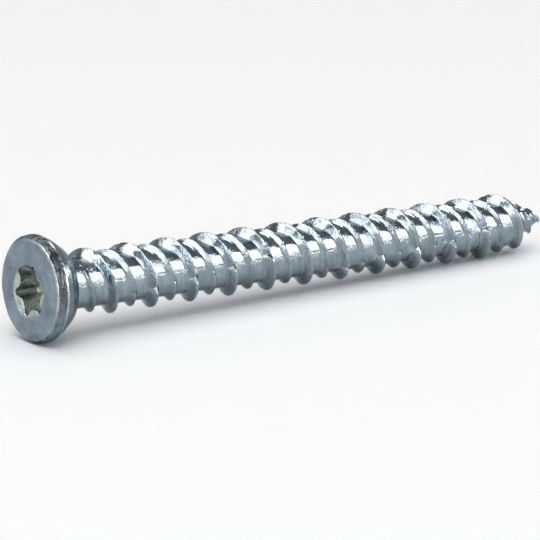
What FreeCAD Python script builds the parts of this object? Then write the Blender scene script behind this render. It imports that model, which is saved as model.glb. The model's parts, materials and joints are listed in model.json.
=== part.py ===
import FreeCAD, Part
import math
import os
import Sketcher

# Concrete screw: countersunk head with a six-lobe drive, a short neck, and a twin-start thread whose
# two starts differ in height, run out under the head and carry on down the point. Millimetres.
# In the body's own frame the screw's axis is +X, with the head's face at zero and the point at
# screw_length. The body is then laid down as it would come to rest, on its head and its tall thread.

DRIVING_SIZES = (
    ("screw_length", 72.7),
    ("head_diameter", 11.7),
    ("face_diameter", 11.0),
    ("face_edge_depth", 0.5),
    ("rim_depth", 1.1),
    ("seat_depth", 3.2),
    ("seat_end_diameter", 9.2),
    ("head_depth", 3.9),
    ("neck_diameter", 5.9),
    ("neck_end", 4.5),
    ("core_diameter", 5.5),
    ("thread_lead", 5.3),
    ("thread_begin", 2.05),
    ("tall_diameter", 7.4),
    ("tall_root_width", 1.4),
    ("low_diameter", 6.5),
    ("low_root_width", 0.75),
    ("run_out_end", 6.3),
    ("core_point_length", 6.4),
    ("thread_point_length", 5.7),
    ("point_diameter", 0.5),
    ("drive_lobe_diameter", 5.6),
    ("drive_waist_diameter", 3.95),
    ("drive_lobe_radius", 0.45),
    ("drive_depth", 2.9),
    ("drive_floor_depth", 0.5),
    ("drive_mouth_diameter", 5.8),
    ("drive_mouth_depth", 0.75),
    ("drive_turn", 44.0),
)
LOBES = 6
# How far a cut reaches past what it removes.
CUT_MARGIN = 3.0
# How far past the diameter of the tall thread the two cones that trim it go on, as a share.
TRIM_SHARE = 1.2
# How wide the conical floor of the socket is, as a share of the drive's waist.
FLOOR_SHARE = 0.9


def make_sheet(doc):
    """The driving sizes, one row each, with the name beside the value."""
    sheet = doc.addObject("Spreadsheet::Sheet", "Sizes")
    for row, (name, value) in enumerate(DRIVING_SIZES, start=1):
        sheet.set(f"A{row}", name)
        sheet.set(f"B{row}", str(value))
        sheet.setAlias(f"B{row}", name)
    doc.recompute()
    return sheet


def origin_part(body, role):
    """One of the body's own origin planes or axes."""
    return next(item for item in body.Origin.OriginFeatures if item.Role == role)


def new_sketch(body, name, role, turn_about_x=0.0):
    """An empty sketch on an origin plane, turned about the screw's axis."""
    sketch = body.newObject("Sketcher::SketchObject", name)
    sketch.AttachmentSupport = [(origin_part(body, role), "")]
    sketch.MapMode = "FlatFace"
    sketch.AttachmentOffset = FreeCAD.Placement(
        FreeCAD.Vector(0, 0, 0), FreeCAD.Rotation(FreeCAD.Vector(1, 0, 0), turn_about_x)
    )
    return sketch


def hold_vertex(sketch, line, direction, expression):
    """Hold the start of a line at a distance from the origin, or on the other axis where that is 0."""
    if expression == "0":
        other_axis = {"X": -2, "Y": -1}[direction]
        sketch.addConstraint(Sketcher.Constraint("PointOnObject", line, 1, other_axis))
        return
    distance = float(sketch.evalExpression(expression))
    number = sketch.addConstraint(
        Sketcher.Constraint("Distance" + direction, -1, 1, line, 1, distance)
    )
    sketch.setExpression(f"Constraints[{number}]", expression)


def draw_outline(sketch, corners):
    """A closed outline of straight lines. Each corner is a pair of expressions of the driving sizes."""
    points = [
        FreeCAD.Vector(float(sketch.evalExpression(across)), float(sketch.evalExpression(up)), 0)
        for across, up in corners
    ]
    lines = [
        sketch.addGeometry(Part.LineSegment(start, end), False)
        for start, end in zip(points, points[1:] + points[:1])
    ]
    for line, following in zip(lines, lines[1:] + lines[:1]):
        sketch.addConstraint(Sketcher.Constraint("Coincident", line, 2, following, 1))
    for line, (across, up) in zip(lines, corners):
        hold_vertex(sketch, line, "X", across)
        hold_vertex(sketch, line, "Y", up)


def turned_feature(body, kind, name, corners):
    """A Revolution or a Groove of an outline about the screw's axis."""
    sketch = new_sketch(body, name + "Outline", "XZ_Plane")
    draw_outline(sketch, corners)
    feature = body.newObject("PartDesign::" + kind, name)
    feature.Profile = sketch
    feature.ReferenceAxis = (origin_part(body, "X_Axis"), [""])
    feature.Angle = 360
    return feature


def add_core(body):
    """The plain rod that the threads stand on, with its pointed end. It starts inside the head."""
    turned_feature(
        body,
        "Revolution",
        "Core",
        (
            ("Sizes.rim_depth", "0"),
            ("Sizes.rim_depth", "Sizes.core_diameter / 2"),
            ("Sizes.screw_length - Sizes.core_point_length", "Sizes.core_diameter / 2"),
            ("Sizes.screw_length", "Sizes.point_diameter / 2"),
            ("Sizes.screw_length", "0"),
        ),
    )


def add_thread(body, name, size, turn_about_x):
    """One start of the thread, swept from inside the head past the point as a right-hand helix.

    Its crest is sharp. Under the core's skin it goes straight in, so that it carries on down the point.
    """
    sketch = new_sketch(body, name + "Profile", "XZ_Plane", turn_about_x)
    centre = "Sizes.thread_begin"
    near_side = f"{centre} - Sizes.{size}_root_width / 2"
    far_side = f"{centre} + Sizes.{size}_root_width / 2"
    foot = "Sizes.point_diameter / 2"
    shoulder = "Sizes.core_diameter / 2"
    draw_outline(
        sketch,
        (
            (near_side, foot),
            (near_side, shoulder),
            (centre, f"Sizes.{size}_diameter / 2"),
            (far_side, shoulder),
            (far_side, foot),
        ),
    )
    helix = body.newObject("PartDesign::AdditiveHelix", name)
    helix.Profile = sketch
    helix.ReferenceAxis = (origin_part(body, "X_Axis"), [""])
    helix.Mode = "pitch-height-angle"
    helix.setExpression("Pitch", "Sizes.thread_lead")
    helix.setExpression("Height", "Sizes.screw_length - Sizes.thread_begin + Sizes.tall_root_width")


def trim_threads(body):
    """Let both threads rise out of the neck, and taper them to the point."""
    below_neck = "(Sizes.core_diameter + Sizes.neck_diameter) / 4"
    trim_top = f"Sizes.tall_diameter / 2 * {TRIM_SHARE}"
    turned_feature(
        body,
        "Groove",
        "RunOut",
        (
            ("Sizes.rim_depth", below_neck),
            ("Sizes.neck_end", below_neck),
            (
                f"Sizes.neck_end + (Sizes.run_out_end - Sizes.neck_end) * ({trim_top} - {below_neck})"
                f" / (Sizes.tall_diameter / 2 - {below_neck})",
                trim_top,
            ),
            ("Sizes.rim_depth", trim_top),
        ),
    )
    turned_feature(
        body,
        "Groove",
        "ThreadPoint",
        (
            ("Sizes.screw_length", "0"),
            ("Sizes.screw_length", "Sizes.point_diameter / 2"),
            (
                "Sizes.screw_length - Sizes.thread_point_length"
                f" * ({trim_top} - Sizes.point_diameter / 2)"
                " / (Sizes.tall_diameter / 2 - Sizes.point_diameter / 2)",
                trim_top,
            ),
            (f"Sizes.screw_length + {CUT_MARGIN}", trim_top),
            (f"Sizes.screw_length + {CUT_MARGIN}", "0"),
        ),
    )


def add_head(body):
    """Flat face with an eased edge, short cylindrical rim, long seat cone, steep shoulder and neck."""
    neck_blend = "Sizes.neck_end + Sizes.neck_diameter - Sizes.core_diameter"
    turned_feature(
        body,
        "Revolution",
        "Head",
        (
            ("0", "0"),
            ("0", "Sizes.face_diameter / 2"),
            ("Sizes.face_edge_depth", "Sizes.head_diameter / 2"),
            ("Sizes.rim_depth", "Sizes.head_diameter / 2"),
            ("Sizes.seat_depth", "Sizes.seat_end_diameter / 2"),
            ("Sizes.head_depth", "Sizes.neck_diameter / 2"),
            ("Sizes.neck_end", "Sizes.neck_diameter / 2"),
            (neck_blend, "Sizes.core_diameter / 2"),
            (neck_blend, "0"),
        ),
    )


def flute_radius(sheet):
    """Radius of the inward bulges of the drive, tangent to the lobes on both sides."""
    lobe_centre = sheet.drive_lobe_diameter / 2 - sheet.drive_lobe_radius
    waist = sheet.drive_waist_diameter / 2
    along = lobe_centre * math.cos(math.pi / LOBES)
    above = lobe_centre**2 + waist**2 - 2 * waist * along - sheet.drive_lobe_radius**2
    return above / (2 * (sheet.drive_lobe_radius + along - waist))


def on_ray(distance, degrees):
    """The point at this distance from the origin in this direction."""
    angle = math.radians(degrees)
    return FreeCAD.Vector(distance * math.cos(angle), distance * math.sin(angle), 0)


def arc_about(centre, start, end):
    """The shorter arc from one point to another about a centre, as a sketch wants it."""
    radius = (start - centre).Length
    first = math.atan2(start.y - centre.y, start.x - centre.x)
    last = math.atan2(end.y - centre.y, end.x - centre.x)
    circle = Part.Circle(centre, FreeCAD.Vector(0, 0, 1), radius)
    return Part.ArcOfCircle(circle, first, last)


def draw_lobe(sketch, sheet):
    """One sixth of the drive: a lobe between two half flutes, closed by two lines to the axis."""
    half = 180.0 / LOBES
    waist = sheet.drive_waist_diameter / 2
    flute = flute_radius(sheet)
    lobe_centre = on_ray(sheet.drive_lobe_diameter / 2 - sheet.drive_lobe_radius, 0)
    low_centre = on_ray(waist + flute, -half)
    high_centre = on_ray(waist + flute, half)
    low_waist = on_ray(waist, -half)
    high_waist = on_ray(waist, half)
    reach = flute / (flute + sheet.drive_lobe_radius)
    low_joint = low_centre + (lobe_centre - low_centre) * reach
    high_joint = high_centre + (lobe_centre - high_centre) * reach
    origin = FreeCAD.Vector(0, 0, 0)
    inward = sketch.addGeometry(Part.LineSegment(high_waist, origin), False)
    outward = sketch.addGeometry(Part.LineSegment(origin, low_waist), False)
    low_flute = sketch.addGeometry(arc_about(low_centre, low_joint, low_waist), False)
    lobe = sketch.addGeometry(arc_about(lobe_centre, low_joint, high_joint), False)
    high_flute = sketch.addGeometry(arc_about(high_centre, high_waist, high_joint), False)
    add = sketch.addConstraint
    add(Sketcher.Constraint("Coincident", inward, 2, -1, 1))
    add(Sketcher.Constraint("Coincident", outward, 1, -1, 1))
    add(Sketcher.Constraint("Coincident", outward, 2, low_flute, 2))
    add(Sketcher.Constraint("Coincident", inward, 1, high_flute, 1))
    add(Sketcher.Constraint("Tangent", low_flute, 1, lobe, 1))
    add(Sketcher.Constraint("Tangent", lobe, 2, high_flute, 2))
    add(Sketcher.Constraint("PointOnObject", low_flute, 3, outward))
    add(Sketcher.Constraint("PointOnObject", high_flute, 3, inward))
    add(Sketcher.Constraint("PointOnObject", lobe, 3, -1))
    add(Sketcher.Constraint("Symmetric", outward, 2, inward, 1, -1))
    add(Sketcher.Constraint("Angle", -1, 1, inward, 2, math.radians(half)))
    for kind, item, end, expression in (
        ("Distance", inward, None, "Sizes.drive_waist_diameter / 2"),
        ("Radius", lobe, None, "Sizes.drive_lobe_radius"),
        ("DistanceX", lobe, 3, "Sizes.drive_lobe_diameter / 2 - Sizes.drive_lobe_radius"),
    ):
        value = float(sketch.evalExpression(expression))
        if end is None:
            number = add(Sketcher.Constraint(kind, item, value))
        else:
            number = add(Sketcher.Constraint(kind, -1, 1, item, end, value))
        sketch.setExpression(f"Constraints[{number}]", expression)


def cut_drive(body, sheet):
    """The six-lobe socket in the face, with its dished mouth and its conical floor."""
    sketch = body.newObject("Sketcher::SketchObject", "LobeOutline")
    sketch.AttachmentSupport = [(origin_part(body, "YZ_Plane"), "")]
    sketch.MapMode = "FlatFace"
    sketch.setExpression("AttachmentOffset.Rotation.Angle", "Sizes.drive_turn")
    draw_lobe(sketch, sheet)
    lobe = body.newObject("PartDesign::Pocket", "DriveLobe")
    lobe.Profile = sketch
    lobe.Reversed = True
    lobe.setExpression("Length", "Sizes.drive_depth")
    body.Document.recompute()
    pattern = body.newObject("PartDesign::PolarPattern", "DriveSocket")
    pattern.Originals = [lobe]
    pattern.Axis = (origin_part(body, "X_Axis"), [""])
    pattern.Angle = 360
    pattern.Occurrences = LOBES
    body.Tip = pattern
    turned_feature(
        body,
        "Groove",
        "DriveMouth",
        (
            ("0", "0"),
            ("0", "Sizes.drive_mouth_diameter / 2"),
            ("Sizes.drive_mouth_depth", "0"),
        ),
    )
    floor_radius = f"Sizes.drive_waist_diameter / 2 * {FLOOR_SHARE}"
    turned_feature(
        body,
        "Groove",
        "DriveFloor",
        (
            ("Sizes.drive_mouth_depth", "0"),
            ("Sizes.drive_mouth_depth", floor_radius),
            ("Sizes.drive_depth", floor_radius),
            ("Sizes.drive_depth + Sizes.drive_floor_depth", "0"),
        ),
    )


def resting_placement(sheet):
    """Lay the screw on its rim and on the last full turn of the tall thread, centred over the origin."""
    first_low_point = sheet.thread_begin + sheet.thread_lead / 2
    full_thread = sheet.screw_length - sheet.thread_point_length - first_low_point
    last_turn = first_low_point + sheet.thread_lead * math.floor(full_thread / sheet.thread_lead)
    head_radius = sheet.head_diameter / 2
    dip = math.atan2(
        head_radius - sheet.tall_diameter / 2,
        last_turn - sheet.rim_depth,
    )
    length = sheet.screw_length * math.cos(dip)
    overhang = (sheet.point_diameter - sheet.face_diameter) / 2 * math.sin(dip)
    height = head_radius * math.cos(dip) + sheet.rim_depth * math.sin(dip)
    place = FreeCAD.Vector(-(length + overhang) / 2, 0, height)
    turn = FreeCAD.Rotation(FreeCAD.Vector(0, 1, 0), math.degrees(dip))
    return FreeCAD.Placement(place, turn)


def build_screw(doc, sheet):
    body = doc.addObject("PartDesign::Body", "Screw")
    body.Label = "concrete_screw"
    add_core(body)
    add_thread(body, "TallThread", "tall", 0.0)
    add_thread(body, "LowThread", "low", 180.0)
    trim_threads(body)
    add_head(body)
    cut_drive(body, sheet)
    doc.recompute()
    body.Placement = resting_placement(sheet)
    doc.recompute()
    return body


def check(doc, body):
    """Stop where an object failed or the screw isn't one sound solid."""
    for item in doc.Objects:
        if "Invalid" in item.State or "Error" in item.State:
            raise RuntimeError(f"{item.Name} failed: {item.State}")
    shape = body.Shape
    if shape.isNull() or not shape.isValid() or len(shape.Solids) != 1:
        raise RuntimeError(f"{body.Label} is not one sound solid")


def main():
    doc = FreeCAD.newDocument("ConcreteScrew")
    sheet = make_sheet(doc)
    screw = build_screw(doc, sheet)
    check(doc, screw)
    os.makedirs("parts", exist_ok=True)
    screw.Shape.exportStep(os.path.join("parts", screw.Label + ".step"))
    print(f"{screw.Label}: {screw.Shape.Volume:.1f} cubic mm, {len(screw.Shape.Faces)} faces")


main()
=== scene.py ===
"""A countersunk concrete screw in bright zinc, lying on a pale studio floor.

The screw's own lengths are in millimetres: "along" runs from the face of the head to the point, and
"turn" is the angle about the axis, from the top towards the side that faces the camera.
"""

import json
import logging
import math
from dataclasses import dataclass, field
from enum import Enum

import bpy
import numpy as np
from mathutils import Matrix, Vector


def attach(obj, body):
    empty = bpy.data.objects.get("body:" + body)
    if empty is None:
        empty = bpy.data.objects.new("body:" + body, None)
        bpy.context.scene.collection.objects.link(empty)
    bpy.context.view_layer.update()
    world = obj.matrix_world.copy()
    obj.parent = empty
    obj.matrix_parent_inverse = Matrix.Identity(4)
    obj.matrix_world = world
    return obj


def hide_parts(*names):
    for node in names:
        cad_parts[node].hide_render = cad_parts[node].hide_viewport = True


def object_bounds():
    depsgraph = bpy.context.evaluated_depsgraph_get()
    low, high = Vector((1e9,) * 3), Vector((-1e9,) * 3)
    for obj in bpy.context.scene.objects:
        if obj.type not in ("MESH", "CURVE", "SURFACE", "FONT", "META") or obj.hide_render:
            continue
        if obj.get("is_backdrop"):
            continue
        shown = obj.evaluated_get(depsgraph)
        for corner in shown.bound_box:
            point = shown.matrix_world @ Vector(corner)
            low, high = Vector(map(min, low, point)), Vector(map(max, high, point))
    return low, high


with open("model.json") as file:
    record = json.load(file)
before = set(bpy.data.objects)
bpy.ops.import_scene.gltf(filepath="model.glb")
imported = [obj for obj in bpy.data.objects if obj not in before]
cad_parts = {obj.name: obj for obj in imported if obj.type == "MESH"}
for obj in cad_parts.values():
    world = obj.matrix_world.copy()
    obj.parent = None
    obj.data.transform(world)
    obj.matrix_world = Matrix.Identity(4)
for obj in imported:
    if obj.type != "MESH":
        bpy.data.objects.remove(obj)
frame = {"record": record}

MM = 0.001
FULL_TURN = 2.0 * math.pi
# Points in each row round the axis.
COLUMNS = 160
# How wide the soft ends of a span of angles are.
SPAN_FADE = math.radians(24.0)
# The most that a corner's arc takes of the runs beside it.
ARC_REACH = 0.45
log = logging.getLogger("concrete_screw")

Pair = tuple[float, float]
Triple = tuple[float, float, float]
Output = bpy.types.NodeSocket


def smooth_min(first: np.ndarray, second: np.ndarray, softness: float) -> np.ndarray:
    """The lower of two heights, with the corner between them rounded.

    Args:
        first: One height.
        second: The other height.
        softness: How wide the rounding is, in millimetres.

    Returns:
        The rounded lower height, never above either of them.
    """
    return -softness * np.logaddexp(-first / softness, -second / softness)


def smooth_max(first: np.ndarray, second: np.ndarray, softness: float) -> np.ndarray:
    """The higher of two heights, with the corner between them rounded."""
    return softness * np.logaddexp(first / softness, second / softness)


def share_within(turn: np.ndarray, start: float, stop: float) -> np.ndarray:
    """Whether angles lie within a span, from none to one, with soft ends.

    Args:
        turn: The angles, in radians.
        start: Where the span starts, in degrees.
        stop: Where it stops, in degrees.

    Returns:
        One inside the span, none outside.
    """
    middle, half = math.radians((start + stop) / 2.0), math.radians((stop - start) / 2.0)
    away = np.abs((turn - middle + math.pi) % FULL_TURN - math.pi)
    return np.clip((half - away) / SPAN_FADE + 0.5, 0.0, 1.0)


def rounded_line(corners: tuple[Triple, ...], steps: int) -> list[Pair]:
    """A line of straight runs with an arc at each corner.

    Args:
        corners: Along, radius and rounding of each corner, in millimetres.
        steps: Number of pieces in each arc.

    Returns:
        Points of the line, as pairs of along and radius.
    """
    points: list[Pair] = [corners[0][:2]]
    for before, corner, after in zip(corners, corners[1:], corners[2:]):
        here = np.array(corner[:2])
        back = np.array(before[:2]) - here
        ahead = np.array(after[:2]) - here
        back_run, ahead_run = np.linalg.norm(back), np.linalg.norm(ahead)
        back, ahead = back / back_run, ahead / ahead_run
        half = math.acos(float(np.clip(back @ ahead, -1.0, 1.0))) / 2.0
        reach = min(corner[2] / math.tan(half), ARC_REACH * back_run, ARC_REACH * ahead_run)
        for share in np.linspace(0.0, 1.0, steps + 1):
            on_back = here + back * reach * (1.0 - share)
            on_ahead = here + ahead * reach * share
            points.append(tuple(on_back * (1.0 - share) + on_ahead * share))
    points.append(corners[-1][:2])
    return points


def new_object(name: str, data: bpy.types.ID) -> bpy.types.Object:
    """Make an object from a mesh, a lamp or a lens, and put it in the scene.

    Args:
        name: The object's name.
        data: What it shows.

    Returns:
        The object.
    """
    thing = bpy.data.objects.new(name, data)
    bpy.context.scene.collection.objects.link(thing)
    return thing


@dataclass(frozen=True)
class RestingPlace:
    """Where the screw lies: the middle of its face, and its own three directions."""

    face_centre: Vector
    along: Vector
    up: Vector
    near: Vector

    @classmethod
    def from_record(cls) -> "RestingPlace":
        """Take the place from the drive recess and its axis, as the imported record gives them.

        Returns:
            The place.
        """
        mounts = {mount["name"]: mount for mount in frame["record"]["mounts"]}
        recess = mounts["drive_recess"]
        along = -Vector(recess["axis"]).normalized()
        near = Vector((0.0, -1.0, 0.0))
        return cls(Vector(recess["pos_m"]), along, near.cross(along).normalized(), near)

    def place(self, along: np.ndarray, radius: np.ndarray, turn: np.ndarray) -> np.ndarray:
        """Points in the room, in metres.

        Args:
            along: Distance from the face along the axis, in millimetres.
            radius: Distance from the axis, in millimetres.
            turn: Angle about the axis, in radians.

        Returns:
            One row of three coordinates for each point.
        """
        up_part = (radius * np.cos(turn))[..., None] * np.array(self.up)
        near_part = (radius * np.sin(turn))[..., None] * np.array(self.near)
        along_part = along[..., None] * np.array(self.along)
        return np.array(self.face_centre) + MM * (along_part + up_part + near_part)


class Area(Enum):
    """Parts of the skin that were left with a different finish by their forming; the rim's dark
    tone is painted shade, the edges' bright tone a painted highlight.

    A finish blends into that of the next number or of the one before.
    """

    ROLLED = 0
    # Its bright tone is a painted highlight.
    EDGE = 1
    HEAD = 2
    # Its near-black tone is painted shade.
    RIM = 3
    SEAT = 4
    MOUTH = 5
    SOCKET = 6


@dataclass
class Ring:
    """Points of the skin that share a finish, mostly one closed row round the axis."""

    along: np.ndarray
    radius: np.ndarray
    turn: np.ndarray
    area: Area
    blend: np.ndarray | float = 0.0
    # Share of the next area's finish. A share below none is of the area before. The head's edges
    # and rim and the socket's mouth use it for painted highlight and painted shade over some
    # angles.
    """Share of the next area's finish. A share below none is of the area before."""


@dataclass(frozen=True)
class Unevenness:
    """A smooth line of small random heights, the same on every run."""

    seed: int
    spacing: float
    depth: float
    # How far along the line the heights of rows that are one apart are taken.
    shift: float = 0.0
    samples: int = 4096
    start: float = 512.0

    def height(self, distance: np.ndarray, row: float = 0.0) -> np.ndarray:
        """Heights between minus and plus the depth.

        Args:
            distance: Distances along the line, in millimetres.
            row: Place of the row that takes them.

        Returns:
            The height at each distance.
        """
        table = np.random.default_rng(self.seed).uniform(-1.0, 1.0, self.samples)
        place = (distance + self.shift * row) / self.spacing + self.start
        lower = np.floor(place).astype(int)
        share = place - lower
        share = share * share * (3.0 - 2.0 * share)
        before, after = table[lower % self.samples], table[(lower + 1) % self.samples]
        return self.depth * (before * (1.0 - share) + after * share)


@dataclass
class Head:
    """Flat face, rough rim between two bright edges, long seat cone, steep shoulder and neck. The
    rim's dark tone is painted shade and the edges' brighter tone a painted highlight, both laid
    only over some angles.
    """

    # Along, radius and rounding of each corner of the profile.
    corners: tuple[Triple, ...] = (
        (0.0, 5.2, 0.0), (0.0, 5.47, 0.16), (0.3, 5.72, 0.4), (0.75, 5.83, 0.5),
        (1.14, 5.843, 0.1), (2.0, 5.41, 0.6), (3.2, 4.56, 0.3), (3.84, 3.1, 0.2),
        (4.1, 2.87, 0.25), (4.72, 2.79, 0.3),
    )
    widest: float = 5.843
    arc_steps: int = 6
    longest_step: float = 0.3
    # Where the rim and its two edges lie, from the face.
    rim: Pair = (0.09, 1.0)
    bright_edges: tuple[Pair, ...] = ((0.0, 0.09), (1.0, 1.25))
    edge_start: float = 5.34
    # How far along the line to its next point a new finish starts.
    seam: float = 0.04
    rim_dents: Unevenness = Unevenness(11, 0.22, 0.08, 31.0)
    # Specks that mottle the rim's painted shade.
    rim_specks: Unevenness = Unevenness(17, 0.26, 0.25, 57.0)
    # Angles over which the rim carries painted shade and its edges a painted highlight, in degrees.
    rim_painted_shade: Pair = (-2.0, 98.0)
    edge_painted_highlight: Pair = (-5.0, 112.0)
    # Shares of the head's satin finish on the edges and on the rim outside those angles, where they
    # carry no painted highlight or painted shade.
    satin_edge: float = 0.9
    satin_rim: float = 0.85
    # How dark the rim's painted shade is between its specks.
    rim_shade_level: float = 0.85

    @property
    def end(self) -> float:
        """Where the head's rows stop and the shank's begin."""
        return self.corners[-1][0]

    def rings(self, turn: np.ndarray) -> list[Ring]:
        """The turned rows from the face's edge to the neck.

        Args:
            turn: The angles of the columns.

        Returns:
            Rows from the face outward and then along the head.
        """
        rows: list[Ring] = []
        both_ways = np.minimum(turn, FULL_TURN - turn)
        # Painted shade on the rim, over its angles only.
        rim_painted_shade = share_within(turn, *self.rim_painted_shade)
        # Painted highlight on the edges over their angles; elsewhere they take the head's satin
        # tone.
        edge = self.satin_edge - self.satin_edge * share_within(turn, *self.edge_painted_highlight)
        line = self.closer(rounded_line(self.corners, self.arc_steps))
        for along, radius, area in self.parted(line):
            level = np.full_like(turn, radius)
            blend = edge if area is Area.EDGE else 0.0
            if area is Area.RIM:
                level += self.rim_dents.height(both_ways * radius, along)
                # The specks break up the rim's painted shade.
                specks = self.rim_specks.height(both_ways * radius, along)
                blend = self.satin_rim * rim_painted_shade * (self.rim_shade_level + specks) - self.satin_rim
            level = np.minimum(level, self.widest)
            rows.append(Ring(np.full_like(turn, along), level, turn, area, blend))
        return rows

    def closer(self, line: list[Pair]) -> list[Pair]:
        """The same line with points added where they are far apart.

        Args:
            line: Points of the profile.

        Returns:
            Points no further apart than the longest step.
        """
        points = [line[0]]
        for start, end in zip(line, line[1:]):
            pieces = max(1, math.ceil(math.dist(start, end) / self.longest_step))
            for step in range(1, pieces + 1):
                share = step / pieces
                points.append(tuple(a * (1.0 - share) + b * share for a, b in zip(start, end)))
        return points

    def parted(self, line: list[Pair]) -> list[tuple[float, float, Area]]:
        """The line with the finish at each point, and a second point where the finish changes.

        Args:
            line: Points of the profile.

        Returns:
            Along, radius and finish of each point.
        """
        kept = 1.0 - self.seam
        points: list[tuple[float, float, Area]] = []
        for along, radius in line:
            area = self.area(along, radius)
            if points and area is not points[-1][2]:
                before = points[-1]
                seam_along = before[0] * kept + along * self.seam
                points.append((seam_along, before[1] * kept + radius * self.seam, area))
            points.append((along, radius, area))
        return points

    def area(self, along: float, radius: float) -> Area:
        """The finish at a point of the profile.

        Args:
            along: Distance from the face.
            radius: Distance from the axis.

        Returns:
            The area that the point lies in.
        """
        if along >= self.end:
            return Area.ROLLED
        on_edge = any(low <= along <= high for low, high in self.bright_edges)
        if on_edge and radius > self.edge_start:
            return Area.EDGE
        if self.rim[0] < along < self.rim[1]:
            return Area.RIM
        return Area.HEAD if along < self.rim[0] else Area.SEAT


@dataclass
class DriveSocket:
    """Six-lobe socket with a dished mouth, straight walls and a conical floor."""

    lobes: int = 6
    first_lobe: float = math.radians(14.0)
    lobe_radius: float = 2.88
    waist_radius: float = 2.03
    lobe_round: float = 0.46
    wall_depth: float = 2.9
    floor_depth: float = 3.35
    # Offsets towards the top and the near side.
    punched_off_centre: Pair = (-0.14, -0.18)
    mouth_off_centre: Pair = (-0.24, -0.04)
    mouth_radius: float = 2.95
    # Slope and depth of the mouth, and of the part that the punch pressed in.
    even_dish: Pair = (0.4, 0.12)
    pressed_dish: Pair = (0.95, 0.55)
    # Angles of that part, in degrees.
    pressed_span: Pair = (-44.0, 14.0)
    dish_softness: float = 0.04
    least_mouth: float = 0.02
    mouth_dents: Unevenness = Unevenness(23, 0.25, 0.09, 43.0)
    # Angles over which the mouth carries painted shade in the seat's tone, in degrees, and the
    # seat's share there.
    dark_mouth: Pair = (-50.0, 60.0)
    dark_share: float = 0.8
    # Rows of the floor, as shares of the way from its middle to the wall.
    floor_shares: tuple[float, ...] = (0.08, 0.35, 0.62, 0.85, 0.94)
    # Rows of the wall: how far in from it, and the share of the way down it.
    wall_rows: tuple[Pair, ...] = (
        (0.03, 0.985), (0.01, 0.95), (0.0, 0.9), (0.0, 0.7), (0.0, 0.5), (0.0, 0.3), (0.0, 0.14),
    )
    # Rows of the wall's rounded upper edge: how far out from it, and how far below the mouth.
    edge_rows: tuple[Pair, ...] = ((0.0, 0.1), (0.012, 0.05), (0.035, 0.02), (0.08, 0.0))
    # Rows of the mouth and of the face, as shares of the way out over them.
    mouth_shares: tuple[float, ...] = (0.3, 0.6, 0.85, 0.97, 1.0)
    face_shares: tuple[float, ...] = (0.004, 0.06, 0.3, 0.6, 0.85)

    def outline(self, turn: np.ndarray) -> np.ndarray:
        """Radius of the socket's wall, from a lobe's arc and the flute's that touches it.

        Args:
            turn: Angle about the socket's middle.

        Returns:
            The radius at each angle.
        """
        pitch = FULL_TURN / self.lobes
        half = pitch / 2.0
        lobe_centre = self.lobe_radius - self.lobe_round
        level = lobe_centre * math.cos(half)
        spare = lobe_centre**2 + self.waist_radius**2 - 2.0 * self.waist_radius * level
        gap = self.lobe_round + level - self.waist_radius
        flute = (spare - self.lobe_round**2) / (2.0 * gap)
        flute_centre = self.waist_radius + flute
        away = np.abs((turn - self.first_lobe + half) % pitch - half)
        beside = half - away
        joint_share = flute / (flute + self.lobe_round)
        joint_across = flute_centre * math.sin(half) * (1.0 - joint_share)
        flute_part = flute_centre * math.cos(half) * (1.0 - joint_share)
        joint = math.atan2(joint_across, flute_part + lobe_centre * joint_share)
        on_lobe = lobe_centre * np.cos(away) + np.sqrt(
            np.maximum(self.lobe_round**2 - (lobe_centre * np.sin(away)) ** 2, 0.0)
        )
        on_flute = flute_centre * np.cos(beside) - np.sqrt(
            np.maximum(flute**2 - (flute_centre * np.sin(beside)) ** 2, 0.0)
        )
        return np.where(away < joint, on_lobe, on_flute)

    def brim(self, turn: np.ndarray) -> np.ndarray:
        """Radius of the mouth's circle.

        Args:
            turn: Angle about the socket's middle.

        Returns:
            The radius at each angle.
        """
        up, near = self.mouth_off_centre
        across = up * np.sin(turn) - near * np.cos(turn)
        return up * np.cos(turn) + near * np.sin(turn) + np.sqrt(self.mouth_radius**2 - across**2)

    def dish(self, radius: np.ndarray, turn: np.ndarray) -> np.ndarray:
        """Depth of the dished mouth, more where a flute was pressed in.

        Args:
            radius: Distance from the socket's middle.
            turn: Angle about the socket's middle.

        Returns:
            The depth below the face at each point.
        """
        inside = np.maximum(self.brim(turn) - radius, 0.0)
        even, pressed = (
            smooth_min(slope * inside, np.full_like(inside, depth), self.dish_softness).clip(0.0)
            for slope, depth in (self.even_dish, self.pressed_dish)
        )
        share = share_within(turn, *self.pressed_span)
        return even * (1.0 - share) + pressed * share

    def shifted(
        self,
        along: np.ndarray,
        radius: np.ndarray,
        turn: np.ndarray,
        share: float,
        area: Area,
        blend: np.ndarray | float = 0.0,
    ) -> Ring:
        """A row about the socket's own middle, given about the screw's axis.

        Args:
            along: Depth of each point.
            radius: Radius of each point about the socket's middle.
            turn: Angle of each point about the socket's middle.
            share: How much of the offset applies.
            area: The finish there.
            blend: Share of the next area's finish.

        Returns:
            The row about the screw's axis.
        """
        up = radius * np.cos(turn) + share * self.punched_off_centre[0]
        near = radius * np.sin(turn) + share * self.punched_off_centre[1]
        return Ring(along, np.hypot(up, near), np.arctan2(near, up), area, blend)

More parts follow.
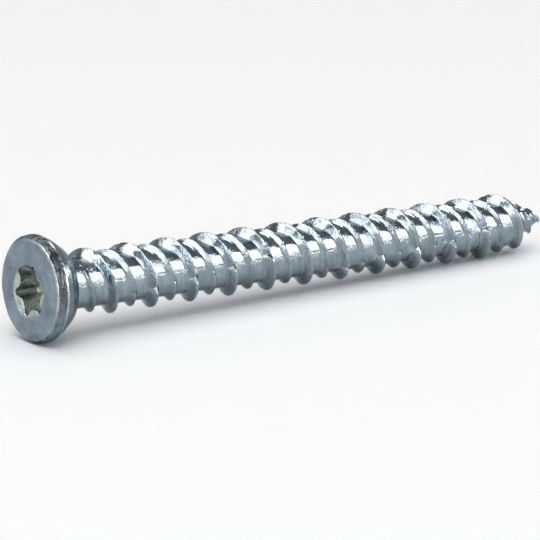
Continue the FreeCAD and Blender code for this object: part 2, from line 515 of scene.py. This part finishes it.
    def rings(self, turn: np.ndarray, face_radius: float) -> list[Ring]:
        """The rows from the middle of the socket's floor out over the face.

        Args:
            turn: The angles of the columns.
            face_radius: Where the face's flat ends.

        Returns:
            Rows from the axis outward, without the pole itself.
        """
        wall = self.outline(turn)
        edge = self.dish(wall, turn)
        rows: list[Ring] = []
        for share in self.floor_shares:
            depth = self.floor_depth + (self.wall_depth - self.floor_depth) * share
            level = np.full_like(turn, depth)
            rows.append(self.shifted(level, wall * share, turn, 1.0, Area.SOCKET))
        for inset, share in self.wall_rows:
            depth = edge + (self.wall_depth - edge) * share
            rows.append(self.shifted(depth, wall - inset, turn, 1.0, Area.SOCKET))
        for out, drop in self.edge_rows:
            depth = self.dish(wall + out, turn) + drop
            rows.append(self.shifted(depth, wall + out, turn, 1.0, Area.SOCKET))
        start = wall + self.edge_rows[-1][0]
        brim = np.maximum(self.brim(turn), start + self.least_mouth)
        # Painted shade: the top of the mouth takes the seat's darker tone.
        dark = -self.dark_share * share_within(turn, *self.dark_mouth)
        both_ways = np.minimum(turn, FULL_TURN - turn)
        for share in self.mouth_shares:
            radius = start + (brim - start) * share
            dents = self.mouth_dents.height(both_ways * radius, share)
            midway = 4.0 * share * (1.0 - share)
            depth = self.dish(radius, turn) + np.maximum(dents, 0.0) * midway
            rows.append(self.shifted(depth, radius, turn, 1.0, Area.MOUTH, dark))
        for share in self.face_shares:
            radius = brim + (face_radius - brim) * share
            rows.append(self.shifted(np.zeros_like(turn), radius, turn, 1.0 - share, Area.HEAD))
        return rows


@dataclass(frozen=True)
class Crest:
    """One start of the thread: its height and the shape of its flanks."""

    offset: float
    radius: float
    half_flat: float
    head_base: float
    tip_base: float
    root_softness: float
    edge_softness: float
    wear: Unevenness

    def height(self, core: float, away: np.ndarray, travel: np.ndarray) -> np.ndarray:
        """Height over the core.

        Args:
            core: Radius of the core.
            away: Distance along the axis from the crest's middle.
            travel: Distance along the thread.

        Returns:
            The height at each point.
        """
        base = np.where(away < 0.0, self.head_base, self.tip_base)
        full = self.radius - core
        worn = full + np.minimum(self.wear.height(travel), 0.0)
        flank = full * (base - np.abs(away)) / (base - self.half_flat)
        rounded = smooth_min(flank, worn, self.edge_softness)
        return smooth_max(rounded, np.zeros_like(flank), self.root_softness)


@dataclass(frozen=True)
class Nick:
    """A dent struck across a crest, which pushed the metal below it towards the head."""

    along: float
    turn: float
    size: float
    radius: float = 3.3
    lean: float = 0.3
    # Shape of the dent and of the bulge. What grows with the size is for a size of one.
    reach_above: float = 0.12
    reach_below: float = 0.5
    aside: float = 0.15
    half_width: float = 0.95
    tip_side_depth: float = 0.72
    head_side_depth: float = 0.5
    bulge_aside: float = -0.42
    bulge_half_width: float = 0.2
    bulge_down: float = 0.5
    bulge_half_length: float = 0.45
    bulge_height: float = 0.2

    def place(self, along: np.ndarray, turn: np.ndarray) -> tuple[np.ndarray, np.ndarray]:
        """Distance towards the point and distance downwards from the dent's deepest place."""
        aside = along - self.along
        return aside, (turn - math.radians(self.turn)) * self.radius + self.lean * aside

    def cut(self, along: np.ndarray, turn: np.ndarray) -> np.ndarray:
        """Share of the crest's height that is lost: steep on the upper side, easing out below.

        Args:
            along: Distance from the face.
            turn: Angle about the axis.

        Returns:
            The share at each point.
        """
        aside, down = self.place(along, turn)
        reach = np.where(down < 0.0, self.reach_above, self.reach_below) * self.size
        across = np.exp(-(((aside - self.aside) / (self.half_width * self.size)) ** 4))
        full = np.where(aside > 0.0, self.tip_side_depth, self.head_side_depth)
        return full * min(self.size, 1.0) * np.exp(-((down / reach) ** 2)) * across

    def bulge(self, along: np.ndarray, turn: np.ndarray) -> np.ndarray:
        """Height of the metal that stands proud on the flank below the dent.

        Args:
            along: Distance from the face.
            turn: Angle about the axis.

        Returns:
            The height at each point.
        """
        aside, down = self.place(along, turn)
        across = (aside - self.bulge_aside) / self.bulge_half_width
        below = (down - self.bulge_down * self.size) / (self.bulge_half_length * self.size)
        return self.bulge_height * self.size**2 * np.exp(-(across**2) - below**2)


@dataclass
class TwinThread:
    """Two right-handed starts of different heights on a pointed core."""

    lead: float = 5.3
    # Where the tall crest would cross the top if it ran on into the head.
    begin: float = 2.05
    core_radius: float = 2.715
    tall: Crest = Crest(
        offset=0.0, radius=3.697, half_flat=0.1, head_base=0.68, tip_base=0.62,
        root_softness=0.05, edge_softness=0.02, wear=Unevenness(3, 0.24, 0.07),
    )
    low: Crest = Crest(
        offset=2.65, radius=3.26, half_flat=0.05, head_base=0.54, tip_base=0.36,
        root_softness=0.04, edge_softness=0.02, wear=Unevenness(5, 0.2, 0.04),
    )
    run_out: Pair = (5.4, 6.65)
    # Where each cone of the point starts and stops, and its radius where it stops.
    core_cone: Pair = (66.3, 72.75)
    core_spare: float = 0.12
    crest_cone: Pair = (67.0, 72.7)
    crest_spare: float = 0.26
    end: float = 72.4
    tip: tuple[Pair, ...] = ((72.55, 0.21), (72.65, 0.13))
    point: float = 72.7
    # Roundings where two of the shank's surfaces meet.
    core_softness: float = 0.05
    limit_softness: float = 0.08
    rise_softness: float = 0.06
    rise_spare: float = 0.02
    # Dents of the crests: along, turn in degrees, and size.
    nicks: tuple[Triple, ...] = (
        (11.0, 115, 0.8), (14.0, 105, 1.15), (16.5, 98, 0.7), (19.3, 92, 1.0), (22.0, 85, 0.6),
        (24.5, 81, 0.9), (27.1, 78, 0.5), (29.6, 66, 1.0), (31.9, 52, 0.35), (34.5, 50, 0.4),
        (37.2, 47, 0.35), (39.8, 48, 0.4), (42.5, 45, 0.35), (40.6, 123, 0.8), (43.2, 118, 0.9),
        (45.7, 107, 1.15), (48.5, 103, 0.7), (51.0, 100, 1.15), (53.6, 100, 0.7), (56.1, 95, 1.0),
        (58.8, 85, 0.7), (61.2, 75, 0.9), (63.7, 70, 0.6), (7.6, 18, 0.6), (68.8, 36, 0.6),
        (69.3, 66, 0.45), (71.3, 24, 0.35),
    )
    # Where the rows of points lie within one lead, closest at the crests.
    row_steps: tuple[float, ...] = (
        -0.1, -0.05, 0.0, 0.05, 0.1, 0.15, 0.22, 0.31, 0.41, 0.51, 0.6, 0.69, 0.8, 0.96, 1.25,
        1.65, 2.02, 2.16, 2.26, 2.36, 2.46, 2.56, 2.61, 2.65, 2.69, 2.76, 2.86, 2.96, 3.05,
        3.16, 3.4, 3.8, 4.16, 4.34, 4.47, 4.58, 4.71, 4.85, 4.98, 5.1,
    )

    def core(self, along: np.ndarray) -> np.ndarray:
        """Radius of the core, with its point.

        Args:
            along: Distance from the face.

        Returns:
            The radius at each distance.
        """
        start, stop = self.core_cone
        cone = self.core_radius * (stop - along) / (stop - start) + self.core_spare
        return smooth_min(cone, np.full_like(cone, self.core_radius), self.core_softness)

    def limit(self, along: np.ndarray) -> np.ndarray:
        """The radius that no crest passes, near the neck and at the point.

        Args:
            along: Distance from the face.

        Returns:
            The radius at each distance.
        """
        first, full = self.run_out
        rise = self.tall.radius - self.core_radius
        neck = self.core_radius + rise * (along - first) / (full - first)
        start, stop = self.crest_cone
        point = self.tall.radius * (stop - along) / (stop - start) + self.crest_spare
        return smooth_min(neck, point, self.limit_softness)

    def radius(self, along: np.ndarray, turn: np.ndarray) -> np.ndarray:
        """Radius of the shank's skin.

        Args:
            along: Distance from the face.
            turn: Angle about the axis, from zero up to a full turn.

        Returns:
            The radius at each point.
        """
        core = self.core(along)
        phase = along - self.begin - self.lead * turn / FULL_TURN
        rise = np.zeros_like(along)
        for crest in (self.tall, self.low):
            number = np.floor((phase - crest.offset + self.lead / 2.0) / self.lead)
            away = phase - crest.offset - number * self.lead
            travel = (number * FULL_TURN + turn) * crest.radius
            rise = np.maximum(rise, crest.height(self.core_radius, away, travel))
        kept, bulge = np.ones_like(along), np.zeros_like(along)
        for nick in (Nick(*numbers) for numbers in self.nicks):
            kept *= 1.0 - nick.cut(along, turn)
            bulge += nick.bulge(along, turn)
        rise = rise * kept + bulge
        room = np.maximum(self.limit(along) - core, 0.0)
        allowed = smooth_min(rise, room + self.rise_spare, self.rise_softness)
        allowed = np.where(room > 0.0, allowed, 0.0).clip(0.0)
        return np.minimum(core + allowed, self.tall.radius)


@dataclass
class ScrewSkin:
    """The closed skin of the whole screw: points, faces, and what the finish needs to know."""

    place: RestingPlace
    head: Head = field(default_factory=Head)
    socket: DriveSocket = field(default_factory=DriveSocket)
    thread: TwinThread = field(default_factory=TwinThread)
    turn: np.ndarray = field(default_factory=lambda: np.arange(COLUMNS) * FULL_TURN / COLUMNS)
    # How strongly an area that wasn't rolled is dented, if at all.
    dents: dict[Area, float] = field(
        default_factory=lambda: {
            Area.RIM: 0.9, Area.SEAT: 0.2, Area.MOUTH: 1.0, Area.SOCKET: 1.0,
        }
    )
    # The length that counts as one lead for the lines of areas that weren't rolled.
    streak_length: float = 6.0
    # How near to the shank's end rows its other points may lie.
    nearest: float = 0.015
    # Length over which the shank takes over from the neck.
    neck_fade: float = 0.5
    points: list[np.ndarray] = field(default_factory=list)
    streaks: list[np.ndarray] = field(default_factory=list)
    heights: list[np.ndarray] = field(default_factory=list)
    areas: list[np.ndarray] = field(default_factory=list)
    faces: list[tuple[int, ...]] = field(default_factory=list)
    count: int = 0

    def add_points(self, ring: Ring) -> np.ndarray:
        """Add points, with what the finish needs to know there.

        Args:
            ring: The points: one row, a pole or the whole shank.

        Returns:
            The numbers of the points.
        """
        along, radius, turn, area = ring.along, ring.radius, ring.turn, ring.area
        self.points.append(self.place.place(along, radius, turn))
        if area is Area.ROLLED:
            lead, core = self.thread.lead, self.thread.core_radius
            rolled = FULL_TURN * (along / lead - turn / FULL_TURN)
            streaks = np.stack((np.cos(rolled), np.sin(rolled), along / lead), axis=-1)
            heights = np.clip((radius - core) / (self.thread.tall.radius - core), 0.0, 1.0)
        else:
            streaks = self.points[-1] / (self.streak_length * MM)
            heights = np.full(along.shape, self.dents.get(area, 0.0))
        self.streaks.append(streaks)
        self.heights.append(heights)
        self.areas.append(np.full(along.shape, float(area.value)) + ring.blend)
        numbers = np.arange(self.count, self.count + len(along))
        self.count += len(along)
        return numbers

    def add_face(self, corners: tuple[int, ...]) -> None:
        """Add a face, leaving out corners that fall together.

        Args:
            corners: Numbers of its points.
        """
        kept = [corner for place, corner in enumerate(corners) if corner != corners[place - 1]]
        if len(set(kept)) >= 3:
            self.faces.append(tuple(kept))

    def join(self, inner: np.ndarray, outer: np.ndarray) -> None:
        """A band of faces between two rows, either of which may be one point over and over.

        Args:
            inner: Numbers of the first row's points.
            outer: Numbers of the second row's points.
        """
        for column in range(COLUMNS):
            after = (column + 1) % COLUMNS
            self.add_face((inner[column], inner[after], outer[after], outer[column]))

    def add_rings(self, rings: list[Ring], last: np.ndarray) -> np.ndarray:
        """Add rows one after another, each joined to the one before.

        Args:
            rings: The rows.
            last: Numbers of the row that the first of them joins.

        Returns:
            The numbers of the last.
        """
        for ring in rings:
            numbers = self.add_points(ring)
            self.join(last, numbers)
            last = numbers
        return last

    def helix_rows(self) -> np.ndarray:
        """Where the points lie on rows that run with the thread's helix.

        Returns:
            Distance from the face, by row and column, past the shank at both ends.
        """
        thread, lead = self.thread, self.thread.lead
        first = math.floor((self.head.end - lead - thread.begin) / lead) - 1
        stop = math.ceil(thread.end / lead) + 1
        steps = np.array(thread.row_steps)
        starts = [thread.begin + lead * number + steps for number in range(first, stop)]
        return np.concatenate(starts)[:, None] + lead * self.turn[None, :] / FULL_TURN

    def add_shank(self, start_ring: np.ndarray) -> np.ndarray:
        """Rows that run with the thread's helix between the neck and the point.

        Args:
            start_ring: The last row of the head.

        Returns:
            The row at the point.
        """
        thread, begin = self.thread, self.head.end
        along = self.helix_rows()
        turn = np.broadcast_to(self.turn, along.shape)
        near_begin = along <= begin + self.nearest
        inside = ~near_begin & (along < thread.end - self.nearest)
        ends = np.full(COLUMNS, thread.end)
        end = Ring(ends, thread.radius(ends, self.turn), self.turn, Area.ROLLED)
        end_ring = self.add_points(end)
        numbers = np.where(near_begin, start_ring[None, :], end_ring[None, :])
        along, turn = along[inside], turn[inside]
        radius = thread.radius(along, turn)
        share = np.clip((along - begin) / self.neck_fade, 0.0, 1.0)
        neck = np.maximum(radius, self.head.corners[-1][1])
        radius = radius * share + neck * (1.0 - share)
        numbers[inside] = self.add_points(Ring(along, radius, turn, Area.ROLLED))
        self.join_helix(numbers, inside, end_ring[0])
        return end_ring

    def join_helix(self, numbers: np.ndarray, inside: np.ndarray, beyond: int) -> None:
        """Faces between the shank's rows, each of which meets the one a lead further on.

        Args:
            numbers: Numbers of the points, by row and column.
            inside: Which of them lie between the neck and the point.
            beyond: The point that stands for all those past the last row.
        """
        rows, per_lead = len(numbers), len(self.thread.row_steps)
        for row in range(rows - 1):
            if not inside[row].any() and not inside[row + 1].any():
                continue
            for column in range(COLUMNS):
                if column + 1 < COLUMNS:
                    side = (numbers[row, column + 1], numbers[row + 1, column + 1])
                elif row + 1 + per_lead < rows:
                    side = (numbers[row + per_lead, 0], numbers[row + 1 + per_lead, 0])
                else:
                    side = (beyond, beyond)
                self.add_face((numbers[row, column], *side, numbers[row + 1, column]))

    def build(self) -> bpy.types.Object:
        """Lay out all rows from the socket's floor to the point.

        Returns:
            The screw's one piece.
        """
        socket, thread, middle = self.socket, self.thread, np.zeros(1)
        depth = np.array([socket.floor_depth])
        pole = self.add_points(socket.shifted(depth, middle, middle, 1.0, Area.SOCKET))
        tip = [
            Ring(np.full(COLUMNS, along), np.full(COLUMNS, radius), self.turn, Area.ROLLED)
            for along, radius in thread.tip
        ]
        last = np.repeat(pole, COLUMNS)
        last = self.add_rings(socket.rings(self.turn, self.head.corners[0][1]), last)
        last = self.add_rings(self.head.rings(self.turn), last)
        last = self.add_rings(tip, self.add_shank(last))
        point = Ring(np.array([thread.point]), middle, middle, Area.ROLLED)
        self.join(last, np.repeat(self.add_points(point), COLUMNS))
        return self.piece()

    def piece(self) -> bpy.types.Object:
        """Make the mesh and the object from what was laid out.

        Returns:
            The object.
        """
        mesh = bpy.data.meshes.new("concrete_screw_skin")
        points = [tuple(point) for point in np.concatenate(self.points)]
        mesh.from_pydata(points, [], [tuple(map(int, face)) for face in self.faces])
        mesh.validate()
        for name, kind, key, values in (
            ("crest_share", "FLOAT", "value", self.heights),
            ("area_kind", "FLOAT", "value", self.areas),
            ("rolling", "FLOAT_VECTOR", "vector", self.streaks),
        ):
            layer = mesh.attributes.new(name, kind, "POINT")
            layer.data.foreach_set(key, np.concatenate(values).astype(np.float32).ravel())
        mesh.polygons.foreach_set("use_smooth", [True] * len(mesh.polygons))
        mesh.update()
        return new_object("screw_skin", mesh)


@dataclass(frozen=True)
class Tone:
    """Colour and roughness of one area of the finish."""

    area: Area
    colour: Triple
    roughness: float


@dataclass(frozen=True)
class Cloud:
    """A cloudy noise: its scale, and how many finer layers it has."""

    scale: float
    detail: float


@dataclass(frozen=True)
class Spread:
    """Factors at a noise's dark and light places, and the noise's values there."""

    low: float
    high: float
    dark: float = 0.3
    light: float = 0.7


@dataclass(frozen=True)
class Shading:
    """The nodes of one material, each added with what it needs."""

    tree: bpy.types.NodeTree

    def node(self, kind: str, inputs: dict[str | int, object], **options: str) -> bpy.types.Node:
        """Add a node.

        Args:
            kind: The kind of node.
            inputs: A value, or the output to link, for each input. None leaves it alone.
            options: Settings of the node itself.

        Returns:
            The node.
        """
        node = self.tree.nodes.new("ShaderNode" + kind)
        for name, option in options.items():
            setattr(node, name, option)
        for name, value in inputs.items():
            if isinstance(value, Output):
                self.tree.links.new(value, node.inputs[name])
            elif value is not None:
                node.inputs[name].default_value = value
        return node

    def attribute(self, name: str, output: str = "Fac") -> Output:
        """One of the mesh's attributes."""
        return self.node("Attribute", {}, attribute_name=name).outputs[output]

    def noise(self, place: Output, cloud: Cloud) -> Output:
        """A cloudy noise, read at a place."""
        inputs = {"Vector": place, "Scale": cloud.scale, "Detail": cloud.detail}
        return self.node("TexNoise", inputs).outputs["Fac"]

    def varied(self, value: Output, by: Output, spread: Spread) -> Output:
        """A value made lower and higher by a noise.

        Args:
            value: The colour or the grey that is changed.
            by: The noise.
            spread: How far it is changed.

        Returns:
            The changed value.
        """
        span = {"From Min": spread.dark, "From Max": spread.light}
        inputs = {"Value": by, **span, "To Min": spread.low, "To Max": spread.high}
        factor = self.node("MapRange", inputs).outputs["Result"]
        mixed = self.node("VectorMath", {0: value, "Scale": factor}, operation="SCALE")
        return mixed.outputs["Vector"]


@dataclass(frozen=True)
class ZincPlating:
    """Bright bluish zinc: glossy where it was rolled, satin on the head, dull in the socket."""

    tones: tuple[Tone, ...] = (
        Tone(Area.ROLLED, (0.275, 0.33, 0.366), 0.1),
        # The edges' bright tone is a painted highlight.
        Tone(Area.EDGE, (0.42, 0.45, 0.475), 0.16),
        Tone(Area.HEAD, (0.225, 0.282, 0.335), 0.31),
        # The rim's near-black tone is painted shade.
        Tone(Area.RIM, (0.06, 0.065, 0.065), 0.24),
        # The seat's tone also lays painted shade on the top of the socket's mouth.
        Tone(Area.SEAT, (0.165, 0.218, 0.252), 0.11),
        Tone(Area.MOUTH, (0.42, 0.48, 0.48), 0.24),
        Tone(Area.SOCKET, (0.45, 0.485, 0.45), 0.27),
    )
    edge_tint: Triple = (0.7, 0.72, 0.75)
    dents: Cloud = Cloud(4600.0, 3.0)
    grain: Cloud = Cloud(9000.0, 4.0)
    lines: Cloud = Cloud(1.0, 4.0)
    clouds: Cloud = Cloud(420.0, 3.0)
    patches: Cloud = Cloud(700.0, 2.0)
    # How fine the rolled lines are: across the helix, the same again, and along the screw.
    line_scales: Triple = (5.0, 5.0, 7.0)
    cloud_tint: Spread = Spread(0.8, 1.15)
    line_tint: Spread = Spread(0.82, 1.13)
    line_roughness: Spread = Spread(0.65, 1.4)
    patch_strength: Spread = Spread(0.35, 3.2, 0.45, 0.68)
    # Strength of the dents at the core and at the crests, and heights of all bumps in metres.
    dent_strengths: Pair = (0.6, 1.1)
    dent_height: float = 0.00005
    line_strength: float = 0.5
    line_height: float = 0.00004
    grain_strength: float = 0.22
    grain_height: float = 0.00001

    def material(self) -> bpy.types.Material:
        """The finish as shader nodes.

        Returns:
            The material.
        """
        finish = bpy.data.materials.new("bright_zinc")
        finish.use_nodes = True
        shading = Shading(finish.node_tree)
        place = shading.node("TexCoord", {}).outputs["Object"]
        rolling = {0: shading.attribute("rolling", "Vector"), 1: self.line_scales}
        stretched = shading.node("VectorMath", rolling, operation="MULTIPLY").outputs["Vector"]
        lines = shading.noise(stretched, self.lines)
        colour, roughness = self.area_tones(shading)
        colour = shading.varied(colour, shading.noise(place, self.clouds), self.cloud_tint)
        colour = shading.varied(colour, lines, self.line_tint)
        roughness = shading.varied(roughness, lines, self.line_roughness)
        normal = None
        for height, strength, distance in (
            (shading.noise(place, self.dents), self.dented(shading, place), self.dent_height),
            (lines, self.line_strength, self.line_height),
            (shading.noise(place, self.grain), self.grain_strength, self.grain_height),
        ):
            inputs = {"Height": height, "Strength": strength, "Distance": distance}
            normal = shading.node("Bump", {**inputs, "Normal": normal}).outputs["Normal"]
        shader = finish.node_tree.nodes["Principled BSDF"]
        shader.inputs["Metallic"].default_value = 1.0
        shader.inputs["Specular Tint"].default_value = (*self.edge_tint, 1.0)
        for name, value in (("Base Color", colour), ("Roughness", roughness), ("Normal", normal)):
            finish.node_tree.links.new(value, shader.inputs[name])
        return finish

    def dented(self, shading: Shading, place: Output) -> Output:
        """Strength of the dents, most at the crests and in rough patches.

        Args:
            shading: The material's nodes.
            place: Where the patches' noise is read.

        Returns:
            The strength.
        """
        low, high = self.dent_strengths
        inputs = {"Value": shading.attribute("crest_share"), "To Min": low, "To Max": high}
        strength = shading.node("MapRange", inputs).outputs["Result"]
        return shading.varied(strength, shading.noise(place, self.patches), self.patch_strength)

    def area_tones(self, shading: Shading) -> list[Output]:
        """Colour and roughness picked by the area that a point lies in.

        Args:
            shading: The material's nodes.

        Returns:
            The two outputs that give them.
        """
        last = len(self.tones) - 1
        inputs = {0: shading.attribute("area_kind"), 1: float(last)}
        share = shading.node("Math", inputs, operation="DIVIDE").outputs[0]
        outputs = []
        tones = sorted(self.tones, key=lambda tone: tone.area.value)
        greys = [(tone.roughness,) * 3 for tone in tones]
        for values in ([tone.colour for tone in tones], greys):
            ramp = shading.node("ValToRGB", {"Fac": share})
            stops = ramp.color_ramp.elements
            while len(stops) < len(values):
                stops.new(0.5)
            for number, (stop, value) in enumerate(zip(stops, values)):
                stop.position = number / last
                stop.color = (*value, 1.0)
            outputs.append(ramp.outputs["Color"])
        return outputs


@dataclass(frozen=True)
class PalePaper:
    """Matt paper, nearly white, for the floor."""

    grey: float = 0.91
    roughness: float = 0.7
    shine: float = 0.2

    def material(self) -> bpy.types.Material:
        """The finish as one plain shader.

        Returns:
            The material.
        """
        paper = bpy.data.materials.new("pale_paper")
        paper.use_nodes = True
        shader = paper.node_tree.nodes["Principled BSDF"]
        shader.inputs["Base Color"].default_value = (self.grey, self.grey, self.grey, 1.0)
        shader.inputs["Roughness"].default_value = self.roughness
        shader.inputs["Specular IOR Level"].default_value = self.shine
        return paper


@dataclass(frozen=True)
class Softbox:
    """A square lamp with an even front, aimed at the middle of the screw.

    Its angles are in degrees and its sizes in metres. Its brightness is that of its front. It
    shows in the metal's reflections, or else it lights the floor.
    """

    name: str
    azimuth: float
    elevation: float
    distance: float
    width: float
    height: float
    brightness: float
    in_reflections: bool = True

    def build(self, target: Vector) -> bpy.types.Object:
        """Hang the lamp.

        Args:
            target: What it is aimed at.

        Returns:
            The lamp.
        """
        lamp = bpy.data.lights.new(self.name, "AREA")
        lamp.shape = "RECTANGLE"
        lamp.size, lamp.size_y = self.width, self.height
        lamp.energy = self.brightness * math.pi * self.width * self.height
        thing = new_object(self.name, lamp)
        azimuth, elevation = math.radians(self.azimuth), math.radians(self.elevation)
        level = math.cos(elevation)
        out = Vector((level * math.cos(azimuth), level * math.sin(azimuth), math.sin(elevation)))
        facing = out.to_track_quat("Z", "Y").to_matrix().to_4x4()
        thing.matrix_world = Matrix.Translation(target + out * self.distance) @ facing
        thing.visible_camera = False
        thing.visible_glossy = self.in_reflections
        thing.visible_diffuse = not self.in_reflections
        return thing


@dataclass(frozen=True)
class PhotoCamera:
    """The camera, at the photograph's distance, height and side. Its angles are in degrees."""

    focal_length: float = 201.9
    sensor_width: float = 36.0
    clip: Pair = (0.01, 20.0)
    yaw: float = -37.453
    pitch: float = 14.0
    from_face: Triple = (-0.168534, -0.261789, 0.079532)

    def build(self, place: RestingPlace) -> bpy.types.Object:
        """Set up the camera.

        Args:
            place: Where the screw lies.

        Returns:
            The camera.
        """
        lens = bpy.data.cameras.new("camera")
        lens.sensor_width = self.sensor_width
        lens.lens = self.focal_length
        lens.clip_start, lens.clip_end = self.clip
        thing = new_object("camera", lens)
        yaw, pitch = math.radians(self.yaw), math.radians(self.pitch)
        turn = Matrix.Rotation(yaw, 4, "Z") @ Matrix.Rotation(math.pi / 2.0 - pitch, 4, "X")
        position = place.face_centre + Vector(self.from_face)
        thing.matrix_world = Matrix.Translation(position) @ turn
        bpy.context.scene.camera = thing
        return thing


@dataclass
class Studio:
    """Pale floor that turns up into a backdrop, soft lamps, plain world and the camera."""

    floor_radius: float = 1.6
    wall_height: float = 0.8
    flat_rings: tuple[float, ...] = (0.2, 0.6)
    bend: float = 0.3
    bend_steps: int = 12
    sides: int = 96
    paper: PalePaper = PalePaper()
    lamps: tuple[Softbox, ...] = (
        Softbox("front_softbox", -52.0, 26.7, 0.6, 0.83, 0.344, 4.8),
        Softbox("front_strip", -52.0, 0.8, 0.6, 0.6, 0.01, 13.0),
        Softbox("top_softbox", 95.0, 68.0, 0.7, 0.51, 0.455, 5.4),
        Softbox("left_softbox", 158.0, 41.5, 0.7, 0.34, 0.34, 5.7),
        Softbox("upper_left_softbox", 184.0, 48.0, 0.7, 0.17, 0.16, 5.7),
        Softbox("front_left_softbox", 205.0, 23.0, 0.7, 0.29, 0.53, 4.5),
        Softbox("seat_softbox", 2.5, 10.0, 0.8, 0.09, 0.08, 20.0),
        Softbox("overhead_softbox", 0.0, 89.0, 1.0, 1.5, 1.5, 1.28, in_reflections=False),
        Softbox("fill_softbox", -127.5, 50.0, 1.6, 1.0, 1.0, 2.15, in_reflections=False),
    )
    world_level: float = 0.27
    camera: PhotoCamera = PhotoCamera()

    def floor(self) -> bpy.types.Object:
        """The floor and backdrop in one pale sheet.

        Returns:
            The sheet.
        """
        flat_end, sides = self.floor_radius - self.bend, self.sides
        profile = [(radius, 0.0) for radius in (*self.flat_rings, flat_end)]
        for step in range(1, self.bend_steps + 1):
            angle = math.pi / 2.0 * step / self.bend_steps
            rise = self.bend - self.bend * math.cos(angle)
            profile.append((flat_end + self.bend * math.sin(angle), rise))
        profile.append((self.floor_radius, self.wall_height))
        verts = [(0.0, 0.0, 0.0)]
        for radius, height in profile:
            for side in range(sides):
                angle = FULL_TURN * side / sides
                verts.append((radius * math.cos(angle), radius * math.sin(angle), height))
        faces = [(0, 1 + side, 1 + (side + 1) % sides) for side in range(sides)]
        for low in range(1, 1 + (len(profile) - 1) * sides, sides):
            for side in range(sides):
                high, after = low + sides, (side + 1) % sides
                faces.append((low + side, high + side, high + after, low + after))
        mesh = bpy.data.meshes.new("floor")
        mesh.from_pydata(verts, [], faces)
        mesh.polygons.foreach_set("use_smooth", [True] * len(mesh.polygons))
        mesh.materials.append(self.paper.material())
        sheet = new_object("floor", mesh)
        sheet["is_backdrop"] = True
        return sheet

    def world(self) -> None:
        """A plain even world."""
        world = bpy.data.worlds.new("plain_world")
        world.use_nodes = True
        back = world.node_tree.nodes["Background"]
        back.inputs["Color"].default_value = (1.0, 1.0, 1.0, 1.0)
        back.inputs["Strength"].default_value = self.world_level
        bpy.context.scene.world = world

    def build(self, place: RestingPlace) -> None:
        """Set everything up round the screw.

        Args:
            place: Where the screw lies.
        """
        self.floor()
        self.world()
        low, high = (Vector(corner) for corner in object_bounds())
        for lamp in self.lamps:
            lamp.build((low + high) / 2.0)
            log.info("lamp %s", lamp.name)
        self.camera.build(place)
        bpy.context.scene.view_settings.view_transform = "Standard"


def main() -> None:
    """Build the screw, dress it and set up the studio."""
    logging.basicConfig(level=logging.INFO, format="%(message)s")
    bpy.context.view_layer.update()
    place = RestingPlace.from_record()
    piece = ScrewSkin(place).build()
    piece.data.materials.append(ZincPlating().material())
    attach(piece, "root")
    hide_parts("concrete_screw")
    counts = len(piece.data.vertices), len(piece.data.polygons)
    log.info("piece %s: %d points, %d faces", piece.name, *counts)
    Studio().build(place)


if __name__ == "__main__":
    main()
